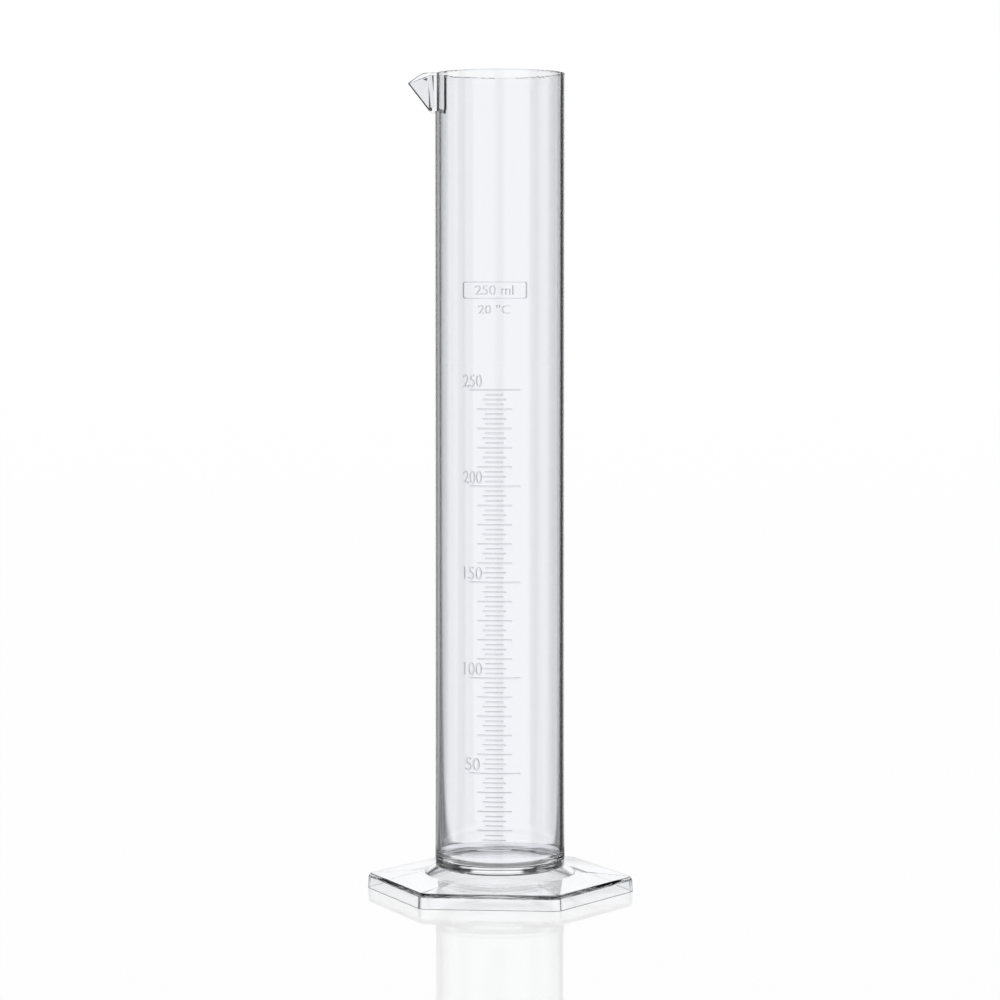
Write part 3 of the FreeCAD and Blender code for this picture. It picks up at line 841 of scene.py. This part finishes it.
@dataclass
class Lettering:
    """Raised text on the front of the tube. Lengths are in millimetres."""

    node: str
    text: str
    proud: float = 0.3
    slope: float = 0.12
    gap: float = 0.01
    curve_steps: int = 6
    crease: float = 40

    def build(self, material: bpy.types.Material, tube: float) -> None:
        """Makes and dresses the text.

        Args:
            material: Its finish.
            tube: Outside radius of the tube.
        """
        low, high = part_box(self.node)
        put_down()
        bpy.ops.object.text_add()
        piece = bpy.context.object
        words = piece.data
        words.body = self.text
        words.align_x = "CENTER"
        words.resolution_u = self.curve_steps
        bpy.ops.object.convert(target="MESH")
        piece = named(f"raised_{self.node}")
        self.fit(piece, (high.x - low.x) / MM, (high.z - low.z) / MM)
        bpy.ops.object.mode_set(mode="EDIT")
        bpy.ops.mesh.select_all(action="SELECT")
        bpy.ops.mesh.remove_doubles(threshold=MERGE_WITHIN)
        raise_face(self.proud * MM, self.slope * MM)
        clean()
        put_down()
        piece.location = (0, -(tube + self.gap) * MM, 0)
        wrap(piece, (tube + self.gap) * MM)
        settle(piece)
        smooth(piece, self.crease)
        hand_over(piece, material, Slot.MARKS, self.node)

    def fit(self, piece: bpy.types.Object, wide: float, tall: float) -> None:
        """Stands the flat text up, and scales and moves it to its node's place.

        Args:
            piece: The text as a flat mesh.
            wide: Width that it gets.
            tall: Height that it gets.
        """
        low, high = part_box(self.node)
        take_up(piece)
        xs = [corner[0] for corner in piece.bound_box]
        ys = [corner[1] for corner in piece.bound_box]
        piece.scale = (wide * MM / (max(xs) - min(xs)), tall * MM / (max(ys) - min(ys)), 1)
        piece.rotation_euler = (math.pi / 2, 0, 0)
        settle(piece)
        xs = [corner[0] for corner in piece.bound_box]
        zs = [corner[2] for corner in piece.bound_box]
        piece.location = ((low.x + high.x - max(xs) - min(xs)) / 2, 0, low.z - min(zs))
        settle(piece)


@dataclass
class LabelFrame:
    """Raised frame round the capacity. Lengths are in millimetres."""

    node: str = "label_frame"
    corner: float = 0.9
    stroke: float = 0.5
    proud: float = 0.3
    slope: float = 0.15
    gap: float = 0.01
    bends: int = 24
    crease: float = 40

    def build(self, material: bpy.types.Material, tube: float) -> None:
        """Makes and dresses the frame.

        Args:
            material: Its finish.
            tube: Outside radius of the tube.
        """
        low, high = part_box(self.node)
        size = high - low
        put_down()
        middle = (0, 0, (low.z + high.z) / 2)
        bpy.ops.mesh.primitive_plane_add(size=1, location=middle, rotation=(math.pi / 2, 0, 0))
        piece = named(f"raised_{self.node}")
        piece.scale = (size.x, size.z, 1)
        settle(piece)
        bpy.ops.object.mode_set(mode="EDIT")
        bpy.ops.mesh.select_mode(type="VERT")
        bpy.ops.mesh.select_all(action="SELECT")
        bpy.ops.mesh.bevel(offset=self.corner * MM, segments=5, profile=0.5, affect="VERTICES")
        pick(piece, Element.FACES, lambda face: True)
        bpy.ops.mesh.inset(thickness=self.stroke * MM, use_even_offset=True)
        bpy.ops.mesh.delete(type="FACE")
        for bend in range(1, self.bends):
            bpy.ops.mesh.select_all(action="SELECT")
            across = low.x + size.x * bend / self.bends
            bpy.ops.mesh.bisect(plane_co=(across, 0, 0), plane_no=(1, 0, 0))
        bpy.ops.mesh.select_all(action="SELECT")
        raise_face(self.proud * MM, self.slope * MM)
        clean()
        put_down()
        piece.location = (0, -(tube + self.gap) * MM, 0)
        wrap(piece, (tube + self.gap) * MM)
        settle(piece)
        smooth(piece, self.crease)
        hand_over(piece, material, Slot.MARKS, self.node)


@dataclass
class Scale:
    """All raised marks: four lengths of line, five numerals, and the label with its note."""

    first_volume: int = 50
    last_volume: int = 250

    def build(self, material: bpy.types.Material) -> None:
        """Makes and dresses all marks."""
        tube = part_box("tube")[1].x / MM
        low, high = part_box("graduation_lines_50ml")
        lines_apart = (high.z - low.z) / MM - ScaleLines.stroke
        rise = lines_apart / (self.last_volume - self.first_volume)
        for lines in (
            ScaleLines("graduation_lines_50ml", 22.2, [(5, 50)]),
            ScaleLines("graduation_lines_10ml", 14.6, [(4, 10), (5, 50)]),
            ScaleLines("graduation_lines_5ml", 9.6, [(24, 10)]),
            ScaleLines("graduation_lines_2_5ml", 7.2, [(48, 5)]),
        ):
            lines.build(material, tube, rise)
        for volume in range(self.first_volume, self.last_volume + 1, self.first_volume):
            Lettering(f"numeral_{volume}", str(volume)).build(material, tube)
        LabelFrame().build(material, tube)
        Lettering("capacity_label", "250 ml").build(material, tube)
        Lettering("temperature_label", "20 °C").build(material, tube)


# ---------------------------------------------------------------- studio


@dataclass(frozen=True)
class Panel:
    """An upright lit panel, as a range of directions from the object.

    Angles are in degrees from +Y towards -X.
    """

    start: float
    end: float
    radiance: float


@dataclass
class Studio:
    """Glowing pale floor with painted panel light and painted shade, soft light and dark flags beside the
    object, and the camera.
    """

    panels: Sequence[Panel] = (
        Panel(-169, -121, 0.85),
        Panel(-95, -75, 0.35),
        Panel(-15, 20.5, 1.0),
        Panel(33, 43, 0.55),
        Panel(76, 104, 0.75),
        Panel(120, 175, 0.68),
    )
    unlit: float = 0.05
    gap_light: float = 0.4
    soft_edge: float = 1.5
    floor_radius: float = 12.0
    near_floor: float = 0.05
    near_fade: float = 0.01
    panels_end: float = 0.45
    ceiling_starts: float = 0.65
    ceiling_light: float = 0.2
    # Painted shade on the floor's glow: rays through or off the object that meet the floor steeply see it
    # dimmed.
    steep_below: float = 0.37
    level_above: float = 0.47
    steep_light: float = 0.3
    floor_ior: float = 1.15
    floor_colour: str = "#FDFDFD"
    floor_gloss: float = 0.04
    azimuth: float = 5.0
    distance: float = 1.145
    height: float = 0.207
    aim: float = 0.1404
    lens: float = 115.45
    clip_start: float = 0.05
    clip_end: float = 40
    max_bounces: int = 40
    transmission_bounces: int = 32
    glossy_bounces: int = 16

    def build(self) -> None:
        """Sets up the world, the floor and the camera."""
        self.light_world()
        self.lay_floor()
        self.place_camera()
        scene = bpy.context.scene
        scene.view_settings.view_transform = "Standard"
        scene.cycles.max_bounces = self.max_bounces
        scene.cycles.transmission_bounces = self.transmission_bounces
        scene.cycles.glossy_bounces = self.glossy_bounces

    def panorama(self, tree: bpy.types.NodeTree, direction: bpy.types.NodeSocket) -> bpy.types.NodeSocket:
        """Radiance of the studio by direction round the object.

        Args:
            tree: The tree that gets the nodes.
            direction: A direction or place, with the object at the origin.

        Returns:
            The radiance.
        """
        parts = add_node(tree, "ShaderNodeSeparateXYZ", links={0: direction})
        left = add_node(tree, "ShaderNodeMath", {"operation": "MULTIPLY"}, {1: -1.0}, {0: parts.outputs["X"]})
        turn = add_node(
            tree,
            "ShaderNodeMath",
            {"operation": "ARCTAN2"},
            links={0: left.outputs[0], 1: parts.outputs["Y"]},
        )
        share = add_node(
            tree,
            "ShaderNodeMapRange",
            values={"From Min": -math.pi, "From Max": math.pi},
            links={"Value": turn.outputs[0]},
        )
        ramp = add_node(tree, "ShaderNodeValToRGB", links={"Fac": share.outputs["Result"]})
        stops = [(-180.0, self.gap_light)]
        for number, panel in enumerate(self.panels):
            before = self.gap_light if number == 0 else self.unlit
            after = self.gap_light if number == len(self.panels) - 1 else self.unlit
            stops += [
                (panel.start - self.soft_edge, before),
                (panel.start + self.soft_edge, panel.radiance),
                (panel.end - self.soft_edge, panel.radiance),
                (panel.end + self.soft_edge, after),
            ]
        stops.append((180.0, self.gap_light))
        band = ramp.color_ramp
        while len(band.elements) < len(stops):
            band.elements.new(0.5)
        for element, (angle, radiance) in zip(band.elements, sorted(stops)):
            element.position = (angle + 180) / 360
            element.color = (radiance, radiance, radiance, 1)
        # The panels end well below the ceiling.
        height = add_node(
            tree,
            "ShaderNodeMapRange",
            values={
                "From Min": self.panels_end,
                "From Max": self.ceiling_starts,
                "To Min": 1.0,
                "To Max": self.ceiling_light,
            },
            links={"Value": parts.outputs["Z"]},
        )
        shaded = add_node(
            tree,
            "ShaderNodeVectorMath",
            {"operation": "SCALE"},
            links={0: ramp.outputs["Color"], "Scale": height.outputs["Result"]},
        )
        return shaded.outputs["Vector"]

    def light_world(self) -> None:
        """Lights the studio all round. Straight past the object, the background is plain white."""
        world = bpy.data.worlds.new("studio")
        bpy.context.scene.world = world
        world.use_nodes = True
        tree = world.node_tree
        tree.nodes.clear()
        place = add_node(tree, "ShaderNodeTexCoord")
        around = self.panorama(tree, place.outputs["Generated"])
        path = add_node(tree, "ShaderNodeLightPath")
        colour = add_node(
            tree,
            "ShaderNodeMix",
            {"data_type": "RGBA"},
            {"B": (1, 1, 1, 1)},
            {"Factor": path.outputs["Is Camera Ray"], "A": around},
        )
        light = add_node(tree, "ShaderNodeBackground", links={"Color": colour.outputs["Result"]})
        add_node(tree, "ShaderNodeOutputWorld", links={"Surface": light.outputs[0]})

    def lay_floor(self) -> None:
        """Lays a large pale floor that glows, with a faint gloss. Straight to the camera the glow is plain
        white; in rays through or off the object it carries painted light and shade of the panels and flags,
        and painted shade where those rays meet the floor steeply.
        """
        put_down()
        bpy.ops.mesh.primitive_circle_add(vertices=96, radius=self.floor_radius, fill_type="NGON")
        floor = named("studio_floor")
        material = bpy.data.materials.new("glowing_floor_painted_light")
        material.use_nodes = True
        tree = material.node_tree
        tree.nodes.clear()
        place = add_node(tree, "ShaderNodeTexCoord")
        # Painted light and shade: the panels' and flags' pattern is painted into the floor's glow by place
        # round the object; near the object and straight to the camera the glow is plain white.
        around = self.panorama(tree, place.outputs["Object"])
        reach = add_node(
            tree,
            "ShaderNodeVectorMath",
            {"operation": "LENGTH"},
            links={0: place.outputs["Object"]},
        )
        near = add_node(
            tree,
            "ShaderNodeMapRange",
            values={
                "From Min": self.near_floor,
                "From Max": self.near_floor + self.near_fade,
                "To Min": 1.0,
                "To Max": 0.0,
            },
            links={"Value": reach.outputs["Value"]},
        )
        path = add_node(tree, "ShaderNodeLightPath")
        plain = add_node(
            tree,
            "ShaderNodeMath",
            {"operation": "MAXIMUM"},
            links={0: near.outputs["Result"], 1: path.outputs["Is Camera Ray"]},
        )
        colour = add_node(
            tree,
            "ShaderNodeMix",
            {"data_type": "RGBA"},
            {"B": linear(self.floor_colour)},
            {"Factor": plain.outputs[0], "A": around},
        )
        # Painted shade: the glow dims for rays that meet the floor steeply, apart from rays straight from the
        # camera.
        facing = add_node(tree, "ShaderNodeLayerWeight", values={"Blend": 0.5})
        painted_shade = add_node(
            tree,
            "ShaderNodeMapRange",
            values={
                "From Min": self.steep_below,
                "From Max": self.level_above,
                "To Min": self.steep_light,
                "To Max": 1.0,
            },
            links={"Value": facing.outputs["Facing"]},
        )
        strength = add_node(
            tree,
            "ShaderNodeMath",
            {"operation": "MAXIMUM"},
            links={0: painted_shade.outputs["Result"], 1: path.outputs["Is Camera Ray"]},
        )
        glow = add_node(
            tree,
            "ShaderNodeEmission",
            links={"Color": colour.outputs["Result"], "Strength": strength.outputs[0]},
        )
        gloss = add_node(
            tree,
            "ShaderNodeBsdfGlossy",
            values={"Color": (1, 1, 1, 1), "Roughness": self.floor_gloss},
        )
        edge_on = add_node(tree, "ShaderNodeFresnel", values={"IOR": self.floor_ior})
        mixed = add_node(
            tree,
            "ShaderNodeMixShader",
            links={0: edge_on.outputs[0], 1: glow.outputs[0], 2: gloss.outputs[0]},
        )
        add_node(tree, "ShaderNodeOutputMaterial", links={"Surface": mixed.outputs[0]})
        floor.data.materials.append(material)

    def place_camera(self) -> None:
        """Places the camera a little above the middle of the object."""
        turn = math.radians(self.azimuth)
        spot = Vector((math.sin(turn) * self.distance, -math.cos(turn) * self.distance, self.height))
        put_down()
        bpy.ops.object.camera_add(location=spot)
        camera = bpy.context.object
        camera.name = "camera"
        camera.rotation_euler = (Vector((0, 0, self.aim)) - spot).to_track_quat("-Z", "Y").to_euler()
        camera.data.lens = self.lens
        camera.data.clip_start = self.clip_start
        camera.data.clip_end = self.clip_end
        bpy.context.scene.camera = camera


def main() -> None:
    """Builds every piece, dresses it and sets up the studio."""
    logging.basicConfig(level=logging.INFO, format="%(name)s: %(message)s")
    clear = ClearPolystyrene().material()
    marks = ClearPolystyrene(name="clear_polystyrene_raised", least_rough=0.02, most_rough=0.08).material()
    PourTube().build(clear)
    HexFoot().build(clear)
    Scale().build(marks)
    Studio().build()


if __name__ == "__main__":
    main()
